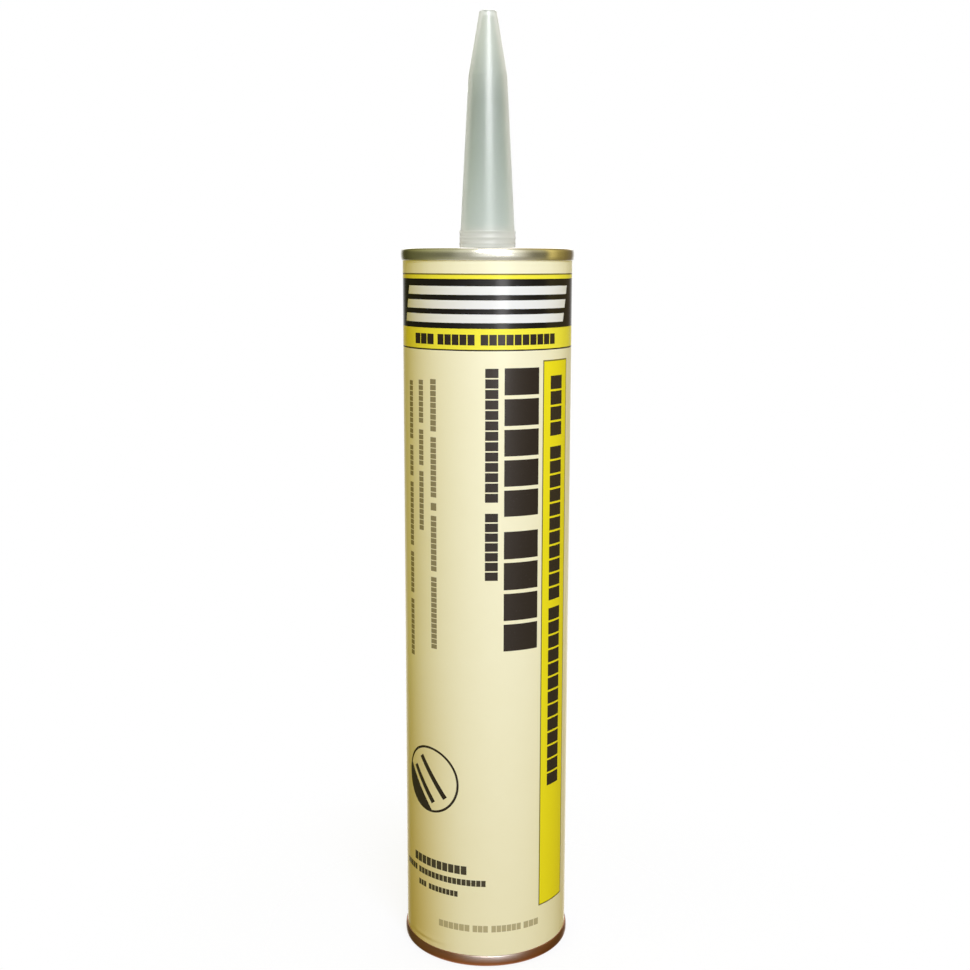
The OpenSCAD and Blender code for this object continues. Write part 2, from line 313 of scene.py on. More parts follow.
def line(along, across, side, width, spans):
    """A line of plain blocks along spans, each of them a start and a length."""
    gap = LETTER_GAP * width
    mask = 0
    for start, length in spans:
        box = field(along, across, start, length, side, width)
        count = max(1, round(length / (LETTER * width)))
        pitch = (length + gap) / count
        inputs = {"Along": box["From Start"], "Pitch": pitch, "Fill": 1 - gap / pitch}
        blocks = put(tree, "Group", inputs, node_tree=marks).outputs[0]
        mask = calc(tree, "MULTIPLY_ADD", box["Mask"], blocks, mask)
    return mask


def band(foot, top):
    """A band of print all the way round."""
    middle = calc(tree, "SUBTRACT", height, (foot + top) / 2)
    return calc(tree, "LESS_THAN", calc(tree, "ABSOLUTE", middle), (top - foot) / 2)


STRIPE_TOP = 207.3
BAND_TOP = 205.8
BAND_FOOT = 192.0
BRIGHT_FOOT = 186.2
FIELD_TOP = 182.5
FIELD_FOOT = 17.2
FIELD_SIDE = 17.7
FIELD_W = 11.2
OUTLINE = 0.42
FIBRE_SHARE = 0.35
PAPER_ROUGH = 0.22
FIBRE_ROUGH = 0.08
INK_GLOSS = 0.08
PAPER_RELIEF = 0.006
SHADE_TOP = 95
SHADE_SHARE = 0.9
FRONT_SHADE_SHARE = 0.15
LIT_ANGLE = math.radians(20)
LIT_SIDE = math.radians(35)
SHADE_SIDE = math.radians(80)

ground = paint(tree, CREAM, CREAM_FIBRE, calc(tree, "MULTIPLY", paper["Clouds"], FIBRE_SHARE))
# Painted warm shade on the paper: darker and yellower towards its foot and round its sides, least in a
# field a little right of the front's middle
shade_by_height = {"Value": height, "From Min": SHADE_TOP, "From Max": 0, "To Max": SHADE_SHARE}
from_front = calc(tree, "ABSOLUTE", calc(tree, "SUBTRACT", about["Angle"], LIT_ANGLE))
sides = {"Value": from_front, "From Min": LIT_SIDE, "From Max": SHADE_SIDE, "To Min": FRONT_SHADE_SHARE}
painted_shade = put(tree, "MapRange", sides, interpolation_type="SMOOTHSTEP").outputs[0]
painted_shade = calc(tree, "MULTIPLY", painted_shade, put(tree, "MapRange", shade_by_height).outputs[0])
ground = paint(tree, ground, CREAM_SHADE, painted_shade)
ground = paint(tree, ground, OLIVE, band(BAND_TOP, STRIPE_TOP))
ground = paint(tree, ground, BAND_YELLOW, band(BAND_TOP, STRIPE_TOP - OUTLINE))
ground = paint(tree, ground, BAND_BLACK, band(BAND_FOOT, BAND_TOP))
ground = paint(tree, ground, INK, band(BRIGHT_FOOT - OUTLINE, BRIGHT_FOOT))
ground = paint(tree, ground, BAND_YELLOW, band(BRIGHT_FOOT, BAND_FOOT))
edge = field(
    downwards, around, -FIELD_TOP - OUTLINE, FIELD_TOP - FIELD_FOOT + 2 * OUTLINE,
    FIELD_SIDE - OUTLINE, FIELD_W + 2 * OUTLINE,
)
ground = paint(tree, ground, OLIVE, edge["Mask"])
inside = field(downwards, around, -FIELD_TOP, FIELD_TOP - FIELD_FOOT, FIELD_SIDE, FIELD_W)
ground = paint(tree, ground, YELLOW, inside["Mask"])

# Three plain white stripes with slanted ends in the dark band
SLANT = 0.25
STRIPE_HALF = 28.5
STRIPE_AROUND = -0.8
STRIPES = [(193.6, 196.0), (197.5, 199.9), (201.4, 203.8)]
risen = calc(tree, "SUBTRACT", height, (BAND_FOOT + BAND_TOP) / 2)
middle = calc(tree, "MULTIPLY_ADD", risen, SLANT, STRIPE_AROUND)
leaning = calc(tree, "ABSOLUTE", calc(tree, "SUBTRACT", around, middle))
for foot, top in STRIPES:
    stripe = calc(tree, "MULTIPLY", calc(tree, "LESS_THAN", leaning, STRIPE_HALF), band(foot, top))
    ground = paint(tree, ground, WHITE_INK, stripe)

# Lines down the label, each as ink, side, width and spans
DOWN_LINES = [
    (INK, 4.9, 10.9, [(-181, 42.5), (-134.1, 35.5)]),
    (INK, -0.6, 3.75, [(-180.9, 38.2), (-139.5, 19.7)]),
    (INK, 20.4, 5.7, [(-178.3, 17.4), (-157.7, 45.7), (-109.6, 55.1)]),
    (SOFT_INK, -17.8, 2.1, [(-177.5, 15), (-160.8, 17.5), (-141.6, 2.2), (-137.8, 16.4), (-119.6, 21.6)]),
    (SOFT_INK, -22.8, 2, [(-177, 12.4), (-162.6, 10.4), (-150.4, 17.4)]),
    (SOFT_INK, -28.2, 2.1, [(-176.5, 17), (-157.5, 9), (-146.6, 19), (-125.6, 12.4), (-111.2, 17.2)]),
]
for ink, side, width, spans in DOWN_LINES:
    ground = paint(tree, ground, ink, line(downwards, around, side, width, spans))

# Lines round the label, each as ink, foot, height and spans
ROUND_LINES = [
    (INK, 187.4, 3.0, [(-24.3, 7.9), (-15, 11.4), (-1.9, 23.9)]),
    (DARK_INK, 29.1, 2.7, [(-26.5, 20.5)]),
    (DARK_INK, 25.65, 1.95, [(-32.3, 7), (-24.2, 24)]),
    (DARK_INK, 21.7, 1.8, [(-24.2, 3.6), (-19.4, 10.6)]),
    (PALE_INK, 11, 2.1, [(-15.3, 10.2), (-4.1, 4.6), (1.6, 9.2), (11.8, 5.3)]),
]
for ink, foot, tall, spans in ROUND_LINES:
    ground = paint(tree, ground, ink, line(around, height, foot, tall, spans))

# Plain round seal: a thin ring, a dark segment across its lower left and two bars beside that.
# Its sizes are shares of its half width and half height.
SEAL_AROUND = -18.8
SEAL_HEIGHT = 57
SEAL_HALF_W = 10.4
SEAL_HALF_H = 10.3
SEAL_TURN = math.radians(39)
SEAL_RING = 0.965
SEAL_RING_HALF = 0.035
SEAL_CHORD = -0.52
SEAL_BARS = [(-0.40, 0.16, 0.62), (0.06, 0.16, 0.72)]
off_side = calc(tree, "DIVIDE", calc(tree, "SUBTRACT", around, SEAL_AROUND), SEAL_HALF_W)
off_height = calc(tree, "DIVIDE", calc(tree, "SUBTRACT", height, SEAL_HEIGHT), SEAL_HALF_H)
seal_place = put(tree, "CombineXYZ", {0: off_side, 1: off_height}).outputs[0]
reach = put(tree, "VectorMath", {0: seal_place}, operation="LENGTH").outputs["Value"]
seal_turned = put(tree, "VectorRotate", {"Vector": seal_place, "Angle": -SEAL_TURN}, rotation_type="Z_AXIS")
seal_parts = put(tree, "SeparateXYZ", {0: seal_turned.outputs[0]}).outputs
to_corner = seal_parts["X"]
along_chord = seal_parts["Y"]
ring = calc(tree, "COMPARE", reach, SEAL_RING, SEAL_RING_HALF)
cut_off = calc(tree, "LESS_THAN", to_corner, SEAL_CHORD)
segment = calc(tree, "MULTIPLY", calc(tree, "LESS_THAN", reach, SEAL_RING), cut_off)
seal = calc(tree, "MAXIMUM", ring, segment)
for start, width, half in SEAL_BARS:
    bar = field(along_chord, to_corner, -half, 2 * half, start, width)["Mask"]
    seal = calc(tree, "MAXIMUM", seal, bar)
ground = paint(tree, ground, INK, seal)

tree.links.new(ground, shader.inputs["Base Color"])
matt = calc(tree, "MULTIPLY_ADD", paper["Threads"], FIBRE_ROUGH, PAPER_ROUGH)
gloss = calc(tree, "SUBTRACT", matt, calc(tree, "MULTIPLY", band(BAND_FOOT, BAND_TOP), INK_GLOSS))
tree.links.new(gloss, shader.inputs["Roughness"])
shader.inputs["Specular IOR Level"].default_value = 0.3
emboss(tree, shader, paper["Threads"], PAPER_RELIEF)
label.data.materials.append(material)
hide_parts("label")
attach(label, "barrel")

# Top end
# Tinplate stamped into a shallow pan with a stiffening bead and a collar for the nozzle.
# Its edge is turned over the tube and rolled tight, with the raw edge tucked in against the label.
SHEET = 0.25 * MM
RIM_BEND = 0.775 * MM
LIP_BEND = 0.175 * MM
SKIRT_LEAN = math.radians(10)
CRIMP_FIT = 0.03 * MM
BEND_STEPS = 10
TURN_STEPS = 192
CORNER_ANGLE = math.radians(35)
PAN_DEPTH = 3.2 * MM
PAN_BEND = 0.4 * MM
WALL_BEND = 0.8 * MM
SINK_DEPTH = 1 * MM
SINK_W = 2 * MM
SINK_SLOPE = 0.6 * MM
COLLAR_BORE = 8.25 * MM
COLLAR_H = 1.8 * MM
BEAD_R = 16 * MM
BEAD_H = 0.8 * MM
BEAD_TOP = 0.75 * MM
BEAD_FOOT = 1.5 * MM


def bent(corners):
    """Points of a path whose corners, as radius, height and bend, are rounded off."""
    points = []
    for i, (radius, height, bend) in enumerate(corners):
        here = Vector((radius, height))
        if not bend:
            points.append(here)
            continue
        back = (Vector(corners[i - 1][:2]) - here).normalized()
        ahead = (Vector(corners[i + 1][:2]) - here).normalized()
        half = back.angle(ahead) / 2
        middle = here + (back + ahead).normalized() * bend / math.sin(half)
        start = here + back * bend / math.tan(half) - middle
        end = here + ahead * bend / math.tan(half) - middle
        first = math.atan2(start.y, start.x)
        sweep = math.atan2(start.x * end.y - start.y * end.x, start.dot(end))
        for step in range(BEND_STEPS + 1):
            angle = first + sweep * step / BEND_STEPS
            points.append(middle + bend * Vector((math.cos(angle), math.sin(angle))))
    return points


def turn(name, profile, capped=False):
    """Draws a ring out along a profile of radius and height, as a spinner forms a blank."""
    bpy.ops.object.select_all(action="DESELECT")
    radius, height = profile[0]
    bpy.ops.mesh.primitive_circle_add(vertices=TURN_STEPS, radius=radius)
    piece = bpy.context.object
    piece.name = name
    bpy.ops.object.mode_set(mode="EDIT")
    bpy.ops.mesh.select_all(action="SELECT")
    bpy.ops.transform.translate(value=(0, 0, height))
    for next_radius, next_height in profile[1:]:
        rise = {"value": (0, 0, next_height - height)}
        bpy.ops.mesh.extrude_edges_move(TRANSFORM_OT_translate=rise)
        grow = next_radius / radius
        bpy.ops.transform.resize(value=(grow, grow, 1), center_override=(0, 0, next_height))
        radius, height = next_radius, next_height
    bpy.ops.mesh.select_all(action="SELECT")
    bpy.ops.mesh.remove_doubles(threshold=MM / 1000)
    if capped:
        bpy.ops.mesh.fill_holes(sides=0)
    bpy.ops.mesh.select_all(action="SELECT")
    bpy.ops.mesh.normals_make_consistent(inside=False)
    bpy.ops.object.mode_set(mode="OBJECT")
    return piece


def smooth_off(piece):
    """Shades curved faces smooth and keeps flat ones flat."""
    bpy.ops.object.shade_smooth_by_angle(angle=CORNER_ANGLE)
    apply_modifier(piece, "WEIGHTED_NORMAL", keep_sharp=True)


def skirt(edge_z, lip_z):
    """Corners of a skirt that bows out between the rim's edge and the lip tucked in under it."""
    half_h = abs(edge_z - lip_z) / 2
    rim_run = RIM_BEND * math.tan(math.pi / 4 - SKIRT_LEAN / 2)
    bow_bend = (half_h / math.cos(SKIRT_LEAN) - rim_run) / math.tan(SKIRT_LEAN)
    middle_r = bow_r + bow_bend * (1 / math.cos(SKIRT_LEAN) - 1)
    edge_r = middle_r - half_h * math.tan(SKIRT_LEAN)
    return [
        (edge_r, edge_z, RIM_BEND),
        (middle_r, (edge_z + lip_z) / 2, bow_bend),
        (edge_r, lip_z, LIP_BEND),
        (grip_r, lip_z, 0),
    ]


end_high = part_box("top_end")[1]
bow_r = end_high.x - SHEET / 2
grip_r = label_high.x + CRIMP_FIT
wall_r = TUBE_BORE * MM - CRIMP_FIT - SHEET / 2
crown_z = end_high.z - SHEET / 2
lip_z = end_high.z - TOP_RIM_H + SHEET / 2
flat_z = end_high.z - PAN_DEPTH - SHEET / 2
sink_z = flat_z - SINK_DEPTH
collar_r = COLLAR_BORE + SHEET / 2
top_end = turn("crimped_top_end", bent([
    (collar_r, flat_z + COLLAR_H, 0),
    (collar_r, flat_z, WALL_BEND),
    (BEAD_R - BEAD_FOOT, flat_z, PAN_BEND),
    (BEAD_R - BEAD_TOP, flat_z + BEAD_H, PAN_BEND),
    (BEAD_R + BEAD_TOP, flat_z + BEAD_H, PAN_BEND),
    (BEAD_R + BEAD_FOOT, flat_z, PAN_BEND),
    (wall_r - SINK_W - SINK_SLOPE, flat_z, PAN_BEND),
    (wall_r - SINK_W, sink_z, PAN_BEND),
    (wall_r, sink_z, WALL_BEND),
    (wall_r, crown_z, RIM_BEND),
    *skirt(crown_z, lip_z),
]))
apply_modifier(top_end, "SOLIDIFY", thickness=SHEET, offset=0)
smooth_off(top_end)

# Rolled sheet: fine lines along the mill's direction, with faint clouds of handling
rolled, given, result = start_group(
    "rolled_sheet", {"Place": "Vector"}, {"Lines": "Float", "Clouds": "Float"}
)
stretched = put(rolled, "Mapping", {"Vector": given["Place"], "Scale": (0.25, 9, 9)}).outputs[0]
lines = put(rolled, "TexNoise", {"Vector": stretched, "Scale": 1, "Detail": 3})
haze = put(rolled, "TexNoise", {"Vector": given["Place"], "Scale": 0.22, "Detail": 4})
rolled.links.new(lines.outputs[0], result["Lines"])
rolled.links.new(haze.outputs[0], result["Clouds"])

SHEET_RELIEF = 0.004
TIN_ROUGH = 0.08
TIN_LINES = 0.14
TIN_BRIGHT = (0.80, 0.78, 0.72, 1)
TIN_DULL = (0.70, 0.67, 0.58, 1)
material, tree, shader, place = start_material("tinplate")
sheet = put(tree, "Group", {"Place": place}, node_tree=rolled).outputs
tree.links.new(paint(tree, TIN_BRIGHT, TIN_DULL, sheet["Clouds"]), shader.inputs["Base Color"])
rough = calc(tree, "MULTIPLY_ADD", sheet["Lines"], TIN_LINES, TIN_ROUGH)
tree.links.new(rough, shader.inputs["Roughness"])
shader.inputs["Metallic"].default_value = 1
emboss(tree, shader, sheet["Lines"], SHEET_RELIEF)
top_end.data.materials.append(material)
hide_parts("top_end")
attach(top_end, "barrel")

# Nozzle
# Natural polyethylene, moulded in one with the flange that the top end traps.
# Three rings stiffen its neck, and the blunt end is closed until it is cut.
nozzle_low, nozzle_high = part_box("nozzle")
NOZZLE_WALL = 1.2 * MM
AXIS_GAP = 0.1 * MM
NECK_R = 8.2 * MM
NECK_STEP = 0.25 * MM
SHOULDER_R = 5.65 * MM
SHOULDER_BEND = 4 * MM
TIP_R = 2.45 * MM
TIP_BEND = 0.7 * MM
RING_COUNT = 3
RING_STEPS = 8
RING_R = 0.5 * MM
RING_OUT = 0.1 * MM
RING_PITCH = 1.75 * MM
RING_FALL = 0.05 * MM
TIP_H = 18.1 * MM
TIP_SOLID = 1.5 * MM
TAPER_H = 43.9 * MM
FLANGE = 1.3 * MM
taper_foot_r = NECK_R - NECK_STEP
tip_z = nozzle_high.z
shoulder_z = tip_z - TIP_H
neck_z = shoulder_z - TAPER_H
ring_angle = math.acos((RING_R - RING_OUT) / RING_R)
ring_half = RING_R * math.sin(ring_angle)
flange_top = nozzle_low.z + FLANGE
bore_z = tip_z - TIP_SOLID
bore_tip_r = TIP_R + TIP_SOLID / TIP_H * (SHOULDER_R - TIP_R) - NOZZLE_WALL
bore_foot_r = taper_foot_r - NOZZLE_WALL

rings = []
for i in range(RING_COUNT):
    ring_z = neck_z - RING_FALL - ring_half - i * RING_PITCH
    for step in range(RING_STEPS + 1):
        angle = ring_angle * (1 - 2 * step / RING_STEPS)
        ring_r = NECK_R - RING_R + RING_OUT + RING_R * math.cos(angle)
        rings.append((ring_r, ring_z + RING_R * math.sin(angle), 0))

nozzle = turn("tapered_nozzle", bent([
    (AXIS_GAP, tip_z, 0),
    (TIP_R, tip_z, TIP_BEND),
    (SHOULDER_R, shoulder_z, SHOULDER_BEND),
    (taper_foot_r, neck_z, 0),
    (NECK_R, neck_z, 0),
    *rings,
    (NECK_R, flange_top, 0),
    (nozzle_high.x, flange_top, 0),
    (nozzle_high.x, nozzle_low.z, 0),
    (bore_foot_r, nozzle_low.z, 0),
    (bore_foot_r, neck_z, 0),
    (SHOULDER_R - NOZZLE_WALL, shoulder_z, 0),
    (bore_tip_r, bore_z, 0),
    (AXIS_GAP, bore_z, 0),
]), capped=True)
smooth_off(nozzle)

# Moulded plastic: the tool's fine grain and clouds where the melt cooled
moulded, given, result = start_group(
    "moulded_skin", {"Place": "Vector"}, {"Grain": "Float", "Clouds": "Float"}
)
grain = put(moulded, "TexNoise", {"Vector": given["Place"], "Scale": 5, "Detail": 3})
drawn = put(moulded, "Mapping", {"Vector": given["Place"], "Scale": (0.12, 0.12, 0.03)}).outputs[0]
flow = put(moulded, "TexNoise", {"Vector": drawn, "Scale": 1, "Detail": 1})
moulded.links.new(grain.outputs[0], result["Grain"])
moulded.links.new(flow.outputs[0], result["Clouds"])

# Tones from the flange to the tip, by share of the height: thick plastic is milkier than thin, and the
# bore's darker middle tones are painted shade inside the hollow
SKIN_TONES = [
    (0.0, (0.92, 0.925, 0.87)),
    (0.13, (0.91, 0.915, 0.86)),
    (0.16, (0.92, 0.945, 0.89)),
    (0.65, (0.82, 0.85, 0.79)),
    (1.0, (0.80, 0.83, 0.77)),
]
BORE_SHADE_TONES = [
    (0.0, (0.92, 0.925, 0.89)),
    (0.13, (0.90, 0.905, 0.87)),
    (0.16, (0.61, 0.69, 0.65)),
    (0.40, (0.45, 0.535, 0.49)),
    (0.66, (0.375, 0.45, 0.415)),
    (0.88, (0.74, 0.79, 0.74)),
    (1.0, (0.80, 0.83, 0.78)),
]
# The tool's polish fades towards the neck, by share of the height
POLISH_FOOT = 0.2
POLISH_TOP = 0.6
DULL_SHARE = 0.5
CLOUD_WHITE = (1, 1, 0.97, 1)
CLOUD_SHARE = 0.1
CLOUD_ROUGH = 0.04
SKIN_ROUGH = 0.3


def toned(tree, share, tones):
    """A colour that runs through a list of tones."""
    ramp = put(tree, "ValToRGB", {0: share})
    stops = ramp.color_ramp.elements
    for i, (position, tone) in enumerate(tones):
        stop = stops[i] if i < 2 else stops.new(position)
        stop.position = position
        stop.color = (*tone, 1)
    return ramp.outputs[0]


def polyethylene(name, tones, clear, gloss):
    """Milky plastic that lets a share of the light through, with a gloss where the tool was polished."""
    material, tree, shader, place = start_material(name)
    skin = put(tree, "Group", {"Place": place}, node_tree=moulded).outputs
    about = put(tree, "Group", {"Place": place}, node_tree=round_axis).outputs
    ends = {"Value": about["Height"], "From Min": nozzle_low.z / MM, "From Max": tip_z / MM}
    risen = put(tree, "MapRange", ends).outputs[0]
    milky = toned(tree, risen, tones)
    cloudy = calc(tree, "MULTIPLY", skin["Clouds"], CLOUD_SHARE)
    tree.links.new(paint(tree, milky, CLOUD_WHITE, cloudy), shader.inputs["Base Color"])
    frosted = calc(tree, "MULTIPLY_ADD", skin["Clouds"], CLOUD_ROUGH, SKIN_ROUGH)
    tree.links.new(frosted, shader.inputs["Roughness"])
    shader.inputs["IOR"].default_value = 1.15
    shader.inputs["Transmission Weight"].default_value = clear
    faded = {"Value": risen, "From Min": POLISH_FOOT, "From Max": POLISH_TOP, "To Min": DULL_SHARE}
    polish = calc(tree, "MULTIPLY", put(tree, "MapRange", faded).outputs[0], gloss)
    tree.links.new(polish, shader.inputs["Coat Weight"])
    shader.inputs["Coat Roughness"].default_value = SKIN_ROUGH
    shader.inputs["Coat IOR"].default_value = 1.65
    return material


nozzle.data.materials.append(polyethylene("natural_polyethylene", SKIN_TONES, clear=0.85, gloss=1))
nozzle.data.materials.append(polyethylene("polyethylene_bore_shade", BORE_SHADE_TONES, clear=0.7, gloss=0))
# Faces that look into the bore take the darker tones, a painted shade of the hollow
for face in nozzle.data.polygons:
    inwards = face.normal.x * face.center.x + face.normal.y * face.center.y < 0
    face.material_index = 1 if inwards else 0
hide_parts("nozzle")
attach(nozzle, "barrel")

# Inner seal
# A disc of bright foil stuck to the underside of the nozzle's flange, which keeps the air out.
# It is creased from being pressed on, and is pierced through the nozzle before use.
SEAL_CREASE_SHADE = (0.72, 0.72, 0.73, 1)
SEAL_BRIGHT = (0.82, 0.82, 0.83, 1)
SEAL_RELIEF = 0.05
material, tree, shader, place = start_material("seal_foil")
cells = put(tree, "TexVoronoi", {"Vector": place, "Scale": 0.7}, feature="DISTANCE_TO_EDGE")
creases = cells.outputs["Distance"]
# The foil is painted darker along its crease lines, as painted shade
tree.links.new(paint(tree, SEAL_CREASE_SHADE, SEAL_BRIGHT, creases), shader.inputs["Base Color"])
shader.inputs["Metallic"].default_value = 1
shader.inputs["Roughness"].default_value = 0.25
emboss(tree, shader, creases, SEAL_RELIEF)
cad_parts["inner_seal"].material_slots[0].material = material

# Adhesive
# Tan paste that fills the tube between the plunger and the top end.
# It is pressed out through the nozzle as the plunger comes up; here the column is drawn at its full length.
paste_low, paste_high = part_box("adhesive")
PASTE_EDGE = 1.5 * MM
PASTE_GAP = 0.5 * MM
PASTE_DARK = (0.52, 0.40, 0.22, 1)
PASTE_PALE = (0.64, 0.52, 0.32, 1)
PASTE_RELIEF = 0.3
paste_r = paste_high.x
adhesive = turn("adhesive_paste", bent([
    (PASTE_GAP, paste_low.z, 0),
    (paste_r, paste_low.z, PASTE_EDGE),
    (paste_r, paste_high.z, PASTE_EDGE),
    (PASTE_GAP, paste_high.z, 0),
]), capped=True)
smooth_off(adhesive)
material, tree, shader, place = start_material("wet_paste")
lumps = put(tree, "TexNoise", {"Vector": place, "Scale": 0.5, "Detail": 5}).outputs[0]
tree.links.new(paint(tree, PASTE_DARK, PASTE_PALE, lumps), shader.inputs["Base Color"])
shader.inputs["Roughness"].default_value = 0.35
emboss(tree, shader, lumps, PASTE_RELIEF)
adhesive.data.materials.append(material)
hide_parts("adhesive")
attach(adhesive, "barrel")
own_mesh(adhesive)

# Rear ring
# A band of lacquered tinplate crimped round the open rear, so that the board doesn't fray; its brown is
# partly a painted reflection of a brown surface.
# Bright tin is painted high along the front of its skirt as a painted highlight.
ring_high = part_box("rear_ring")[1]
foot_z = SHEET / 2
lip_z = REAR_RIM_H - SHEET / 2
rear_ring = turn("crimped_rear_ring", bent([
    (wall_r, ring_high.z, 0),
    (wall_r, foot_z, RIM_BEND),
    *skirt(foot_z, lip_z),
]))
apply_modifier(rear_ring, "SOLIDIFY", thickness=SHEET, offset=0)
smooth_off(rear_ring)
LACQUER_AND_REFLECTION = (0.40, 0.15, 0.06, 1)
LACQUER_AND_REFLECTION_DARK = (0.28, 0.09, 0.032, 1)
HIGHLIGHT_TIN = (0.50, 0.43, 0.41, 1)
HIGHLIGHT_FOOT = 1.2
HIGHLIGHT_TOP = 3.3
HIGHLIGHT_RAGGED = 0.8
HIGHLIGHT_LEAST = 0.15
LACQUER_ROUGH = 0.24
LACQUER_LINES = 0.16
HIGHLIGHT_ANGLE = math.radians(5)
HIGHLIGHT_CORE = math.radians(4)
HIGHLIGHT_EDGE = math.radians(34)
material, tree, shader, place = start_material("lacquered_tinplate")
sheet = put(tree, "Group", {"Place": place}, node_tree=rolled).outputs
about = put(tree, "Group", {"Place": place}, node_tree=round_axis).outputs
# The bright tin, high on the skirt and a little right of the front, is a painted highlight
uneven = calc(tree, "MULTIPLY_ADD", sheet["Clouds"], HIGHLIGHT_RAGGED, -HIGHLIGHT_RAGGED / 2)
ragged = calc(tree, "ADD", about["Height"], uneven)
upwards = {"Value": ragged, "From Min": HIGHLIGHT_FOOT, "From Max": HIGHLIGHT_TOP}
highlight_up = put(tree, "MapRange", upwards).outputs[0]
aside = calc(tree, "ABSOLUTE", calc(tree, "SUBTRACT", about["Angle"], HIGHLIGHT_ANGLE))
sides = {"Value": aside, "From Min": HIGHLIGHT_EDGE, "From Max": HIGHLIGHT_CORE, "To Min": HIGHLIGHT_LEAST}
highlight_across = put(tree, "MapRange", sides, interpolation_type="SMOOTHSTEP").outputs[0]
# The brown is the lacquer's colour and also a painted reflection of a brown surface
lacquer_and_reflection = paint(tree, LACQUER_AND_REFLECTION, LACQUER_AND_REFLECTION_DARK, sheet["Clouds"])
painted_highlight = calc(tree, "MULTIPLY", highlight_up, highlight_across)
tree.links.new(paint(tree, lacquer_and_reflection, HIGHLIGHT_TIN, painted_highlight), shader.inputs["Base Color"])
rough = calc(tree, "MULTIPLY_ADD", sheet["Lines"], LACQUER_LINES, LACQUER_ROUGH)
tree.links.new(rough, shader.inputs["Roughness"])
shader.inputs["Metallic"].default_value = 1
emboss(tree, shader, sheet["Lines"], SHEET_RELIEF)
rear_ring.data.materials.append(material)
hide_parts("rear_ring")
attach(rear_ring, "barrel")

# Plunger
# A cup moulded in polyethylene, with two wiper lips, and a hub and ribs behind its face.
# The gun's push plate drives it up the tube, and the mould leaves every edge a little round.
EDGE_ROUND = 0.25 * MM
PLUNGER_PALE = (0.80, 0.80, 0.76, 1)
PLUNGER_SHADE = (0.72, 0.72, 0.67, 1)
PLUNGER_RELIEF = 0.02
PLUNGER_ROUGH = 0.36
PLUNGER_GRAIN = 0.15
FLAT_ANGLE = math.radians(1)
bpy.ops.object.select_all(action="DESELECT")
bpy.ops.mesh.primitive_plane_add()
plunger = bpy.context.object
plunger.name = "moulded_plunger"
plunger.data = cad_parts["plunger"].data.copy()
plunger.data.materials.clear()
bpy.ops.object.mode_set(mode="EDIT")
bpy.ops.mesh.select_all(action="SELECT")
bpy.ops.mesh.remove_doubles(threshold=MM / 1000)
bpy.ops.mesh.dissolve_limited(angle_limit=FLAT_ANGLE)
bpy.ops.mesh.normals_make_consistent(inside=False)
bpy.ops.object.mode_set(mode="OBJECT")
apply_modifier(plunger, "BEVEL", width=EDGE_ROUND, segments=2, angle_limit=SMOOTH_ANGLE)
smooth_off(plunger)
material, tree, shader, place = start_material("plunger_polyethylene")
skin = put(tree, "Group", {"Place": place}, node_tree=moulded).outputs
tree.links.new(paint(tree, PLUNGER_PALE, PLUNGER_SHADE, skin["Clouds"]), shader.inputs["Base Color"])
satin = calc(tree, "MULTIPLY_ADD", skin["Grain"], PLUNGER_GRAIN, PLUNGER_ROUGH)
tree.links.new(satin, shader.inputs["Roughness"])
emboss(tree, shader, skin["Grain"], PLUNGER_RELIEF)
plunger.data.materials.append(material)
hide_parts("plunger")
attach(plunger, "plunger")

# Floor and light
# A white floor that only holds the shadow, and a painted card round the set for the metal to reflect.
# A tall cool soft box stands right of the camera, with warm fills at the sides and warm light all round.
# A wide lamp stands behind, and a small one lights the open end from below.
FLOOR_R = 0.6
FLOOR_DROP = 0.05 * MM
FLOOR_GLOW = 0.85
SHADOW_FULL = 0.03
SHADOW_END = 0.14
scene = bpy.context.scene
scene.view_settings.view_transform = "Standard"
bpy.ops.object.select_all(action="DESELECT")
bpy.ops.mesh.primitive_circle_add(
    vertices=96, radius=FLOOR_R, fill_type="NGON", location=(0, 0, -FLOOR_DROP)
)
floor = bpy.context.object
floor.name = "floor"
floor.visible_diffuse = False
floor.visible_glossy = False
floor.visible_shadow = False


def start_stage(name):
    """A material with no nodes yet but the place on the piece in metres."""
    material = bpy.data.materials.new(name)
    material.use_nodes = True
    tree = material.node_tree
    tree.nodes.clear()
    return material, tree, put(tree, "TexCoord").outputs["Object"]


material, tree, place = start_stage("white_floor")
from_axis = put(tree, "VectorMath", {0: place}, operation="LENGTH").outputs["Value"]
outwards = {"Value": from_axis, "From Min": SHADOW_FULL, "From Max": SHADOW_END}
fade = put(tree, "MapRange", outwards, interpolation_type="SMOOTHSTEP").outputs[0]
below = put(tree, "NewGeometry").outputs["Backfacing"]
clear = calc(tree, "MAXIMUM", fade, below)
lit = put(tree, "BsdfDiffuse", {"Color": (0.95, 0.95, 0.95, 1)}).outputs[0]
glow = put(tree, "Emission", {"Strength": 1}).outputs[0]
surface = put(tree, "MixShader", {0: FLOOR_GLOW, 1: lit, 2: glow}).outputs[0]
open_air = put(tree, "BsdfTransparent").outputs[0]
shown = put(tree, "MixShader", {0: clear, 1: surface, 2: open_air}).outputs[0]
put(tree, "OutputMaterial", {"Surface": shown})
floor.data.materials.append(material)

CARD_R = 1.4
CARD_FOOT = -1.6
CARD_TOP = 4.0
bpy.ops.object.select_all(action="DESELECT")
bpy.ops.mesh.primitive_cylinder_add(
    vertices=128, radius=CARD_R, depth=CARD_TOP - CARD_FOOT, end_fill_type="NOTHING",
    location=(0, 0, (CARD_TOP + CARD_FOOT) / 2),
)
bpy.ops.object.transform_apply(location=True)
card = bpy.context.object
card.name = "reflection_card"
card.visible_camera = False
card.visible_diffuse = False
card.visible_transmission = False
card.visible_shadow = False

